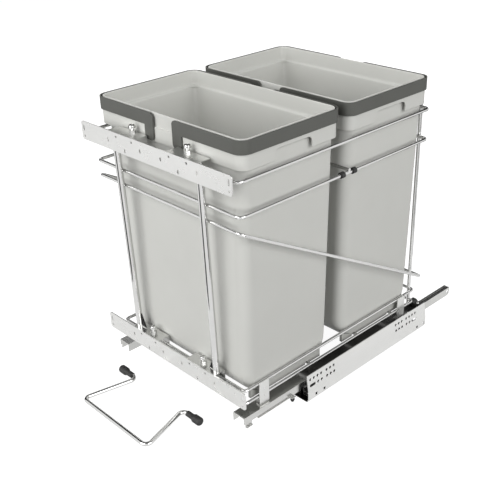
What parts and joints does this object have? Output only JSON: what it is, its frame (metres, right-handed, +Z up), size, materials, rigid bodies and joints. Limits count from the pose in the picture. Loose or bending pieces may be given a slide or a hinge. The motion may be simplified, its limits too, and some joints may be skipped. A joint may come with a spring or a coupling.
{
  "type": "pull-out bin frame",
  "caption": "Wire pull-out frame with lift-out waste bins on telescoping base slides, with door plates for a kitchen cabinet and a loose wire bracket.",
  "frame": {"origin": "middle of the box round the part, at the height of the cabinet floor", "axes": "+X to the right and -Y to the front as seen from the cabinet door, +Z up"},
  "size_m": [0.391, 0.773, 0.5442],
  "materials": {
    "bin_plastic": "satin moulded plastic",
    "handle_plastic": "satin moulded plastic",
    "chrome_wire": "bright chrome plating",
    "plated_sheet": "satin nickel plating",
    "slide_steel": "bright zinc plating",
    "fastener_steel": "bright zinc plating",
    "black_rubber": "matt rubber",
    "black_plastic": "moulded plastic",
    "cage_nylon": "natural nylon"
  },
  "bodies": {
    "cabinet_side": {"left_cabinet_bracket": "slide_steel", "left_fixed_rail": "slide_steel", "left_rail_saddles": "slide_steel", "left_saddle_rivets": "fastener_steel", "right_cabinet_bracket": "slide_steel", "right_fixed_rail": "slide_steel", "right_rail_saddles": "slide_steel", "right_saddle_rivets": "fastener_steel"},
    "left_intermediate": {"left_intermediate_rail": "slide_steel"},
    "left_outer_cage": {"left_outer_ball_cage": "cage_nylon", "left_outer_balls": "fastener_steel"},
    "left_inner_cage": {"left_inner_ball_cage": "cage_nylon", "left_inner_balls": "fastener_steel"},
    "right_intermediate": {"right_intermediate_rail": "slide_steel"},
    "right_outer_cage": {"right_outer_ball_cage": "cage_nylon", "right_outer_balls": "fastener_steel"},
    "right_inner_cage": {"right_inner_ball_cage": "cage_nylon", "right_inner_balls": "fastener_steel"},
    "front_bin_body": {"front_bin": "bin_plastic"},
    "front_left_handle_body": {"front_left_handle": "handle_plastic"},
    "front_right_handle_body": {"front_right_handle": "handle_plastic"},
    "rear_bin_body": {"rear_bin": "bin_plastic"},
    "rear_left_handle_body": {"rear_left_handle": "handle_plastic"},
    "rear_right_handle_body": {"rear_right_handle": "handle_plastic"},
    "loose_bracket_body": {"loose_bracket": "chrome_wire", "loose_left_sleeve": "black_rubber", "loose_right_sleeve": "black_rubber"},
    "frame": {"left_drawer_runner": "slide_steel", "left_runner_bumper": "black_rubber", "left_rear_clip": "black_plastic", "left_front_upright": "plated_sheet", "left_rear_upright": "plated_sheet", "left_rear_post": "chrome_wire", "left_front_rod": "chrome_wire", "lower_left_holder": "plated_sheet", "upper_left_holder": "plated_sheet", "right_drawer_runner": "slide_steel", "right_runner_bumper": "black_rubber", "right_rear_clip": "black_plastic", "right_front_upright": "plated_sheet", "right_rear_upright": "plated_sheet", "right_rear_post": "chrome_wire", "right_front_rod": "chrome_wire", "lower_right_holder": "plated_sheet", "upper_right_holder": "plated_sheet", "carrier_ring": "chrome_wire", "cross_wires": "chrome_wire", "guard_ring": "chrome_wire", "brace_loop": "chrome_wire", "middle_ring": "chrome_wire", "top_ring": "chrome_wire", "divider_bar": "chrome_wire", "lower_door_plate": "plated_sheet", "upper_door_plate": "plated_sheet", "clip_screws": "fastener_steel", "upright_rivets": "fastener_steel", "adjuster_screws": "fastener_steel", "adjuster_nuts": "fastener_steel", "divider_grommets": "black_rubber"}
  },
  "joints": [
    {"name": "pull_out", "type": "slide", "parent": "cabinet_side", "child": "frame", "axis": [0, -1, 0], "range_m": [-0.107, 0.39]},
    {"name": "left_intermediate_slide", "type": "slide", "parent": "cabinet_side", "child": "left_intermediate", "axis": [0, -1, 0], "range_m": [-0.0535, 0.195]},
    {"name": "left_outer_cage_roll", "type": "slide", "parent": "cabinet_side", "child": "left_outer_cage", "axis": [0, -1, 0], "range_m": [-0.08025, 0.2925]},
    {"name": "left_inner_cage_roll", "type": "slide", "parent": "cabinet_side", "child": "left_inner_cage", "axis": [0, -1, 0], "range_m": [-0.02675, 0.0975]},
    {"name": "right_intermediate_slide", "type": "slide", "parent": "cabinet_side", "child": "right_intermediate", "axis": [0, -1, 0], "range_m": [-0.0535, 0.195]},
    {"name": "right_outer_cage_roll", "type": "slide", "parent": "cabinet_side", "child": "right_outer_cage", "axis": [0, -1, 0], "range_m": [-0.08025, 0.2925]},
    {"name": "right_inner_cage_roll", "type": "slide", "parent": "cabinet_side", "child": "right_inner_cage", "axis": [0, -1, 0], "range_m": [-0.02675, 0.0975]},
    {"name": "front_bin_lift", "type": "slide", "parent": "frame", "child": "front_bin_body", "axis": [0, 0, 1], "range_m": [0, 0.5]},
    {"name": "front_left_handle_fold", "type": "hinge", "parent": "front_bin_body", "child": "front_left_handle_body", "pos_m": [-0.036, -0.12004, 0.5212], "axis": [0, 1, 0], "range_deg": [0, 90]},
    {"name": "front_right_handle_fold", "type": "hinge", "parent": "front_bin_body", "child": "front_right_handle_body", "pos_m": [0.036, -0.12004, 0.5212], "axis": [0, -1, 0], "range_deg": [0, 90]},
    {"name": "rear_bin_lift", "type": "slide", "parent": "frame", "child": "rear_bin_body", "axis": [0, 0, 1], "range_m": [0, 0.5]},
    {"name": "rear_left_handle_fold", "type": "hinge", "parent": "rear_bin_body", "child": "rear_left_handle_body", "pos_m": [-0.036, 0.12576, 0.5212], "axis": [0, 1, 0], "range_deg": [0, 90]},
    {"name": "rear_right_handle_fold", "type": "hinge", "parent": "rear_bin_body", "child": "rear_right_handle_body", "pos_m": [0.036, 0.12576, 0.5212], "axis": [0, -1, 0], "range_deg": [0, 90]},
    {"name": "loose_bracket_pick_up", "type": "slide", "parent": "cabinet_side", "child": "loose_bracket_body", "axis": [0, 0, 1], "range_m": [0, 0.3]}
  ],
  "couplings": [
    {"joint": "left_intermediate_slide", "follows": "pull_out", "ratio": 0.5},
    {"joint": "left_outer_cage_roll", "follows": "pull_out", "ratio": 0.75},
    {"joint": "left_inner_cage_roll", "follows": "pull_out", "ratio": 0.25},
    {"joint": "right_intermediate_slide", "follows": "pull_out", "ratio": 0.5},
    {"joint": "right_outer_cage_roll", "follows": "pull_out", "ratio": 0.75},
    {"joint": "right_inner_cage_roll", "follows": "pull_out", "ratio": 0.25}
  ]
}
